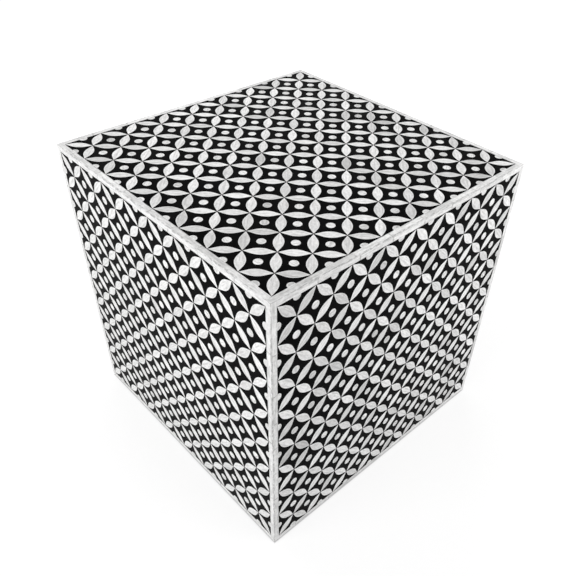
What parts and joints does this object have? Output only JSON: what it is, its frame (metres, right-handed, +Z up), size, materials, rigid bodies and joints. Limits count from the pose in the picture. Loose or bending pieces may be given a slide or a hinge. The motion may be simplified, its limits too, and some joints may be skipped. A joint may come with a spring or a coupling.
{
  "type": "bone inlay side table",
  "caption": "Cube side table: a hollow wooden box inlaid on top and sides with bone petals, dots and edge strips in black resin.",
  "frame": {"origin": "on the floor under the middle of the table", "axes": "+Z up; -Y is the front, the face at the right of the picture, and -X is the left side"},
  "size_m": [0.45, 0.45, 0.45],
  "materials": {
    "petal_bone": "polished bone, fine grain along each petal",
    "dot_bone": "polished bone",
    "strip_bone": "polished bone, streaked along its length",
    "resin": "black resin, sanded to a satin sheen",
    "board": "raw hardwood board",
    "base_ply": "plywood, stained dark underneath",
    "batten": "raw softwood",
    "screw": "yellow zinc",
    "glide": "moulded nylon",
    "nail": "bright steel"
  },
  "bodies": {
    "root": {"back_board": "board", "back_dots": "dot_bone", "back_petals": "petal_bone", "back_resin": "resin", "back_strip_bottom": "strip_bone", "back_strip_left": "strip_bone", "back_strip_right": "strip_bone", "back_strip_top": "strip_bone", "base_board": "base_ply", "base_cleat_back": "batten", "base_cleat_front": "batten", "base_cleat_left": "batten", "base_cleat_right": "batten", "base_screws": "screw", "block_screws": "screw", "cleat_screws": "screw", "corner_block_back_left": "batten", "corner_block_back_right": "batten", "corner_block_front_left": "batten", "corner_block_front_right": "batten", "floor_glides": "glide", "front_board": "board", "front_dots": "dot_bone", "front_petals": "petal_bone", "front_resin": "resin", "front_strip_bottom": "strip_bone", "front_strip_left": "strip_bone", "front_strip_right": "strip_bone", "front_strip_top": "strip_bone", "glide_nails": "nail", "left_board": "board", "left_dots": "dot_bone", "left_petals": "petal_bone", "left_resin": "resin", "left_strip_bottom": "strip_bone", "left_strip_left": "strip_bone", "left_strip_right": "strip_bone", "left_strip_top": "strip_bone", "right_board": "board", "right_dots": "dot_bone", "right_petals": "petal_bone", "right_resin": "resin", "right_strip_bottom": "strip_bone", "right_strip_left": "strip_bone", "right_strip_right": "strip_bone", "right_strip_top": "strip_bone", "top_board": "board", "top_cleat_back": "batten", "top_cleat_front": "batten", "top_cleat_left": "batten", "top_cleat_right": "batten", "top_dots": "dot_bone", "top_petals": "petal_bone", "top_resin": "resin", "top_screws": "screw", "top_strip_back": "strip_bone", "top_strip_front": "strip_bone", "top_strip_left": "strip_bone", "top_strip_right": "strip_bone"}
  },
  "joints": []
}
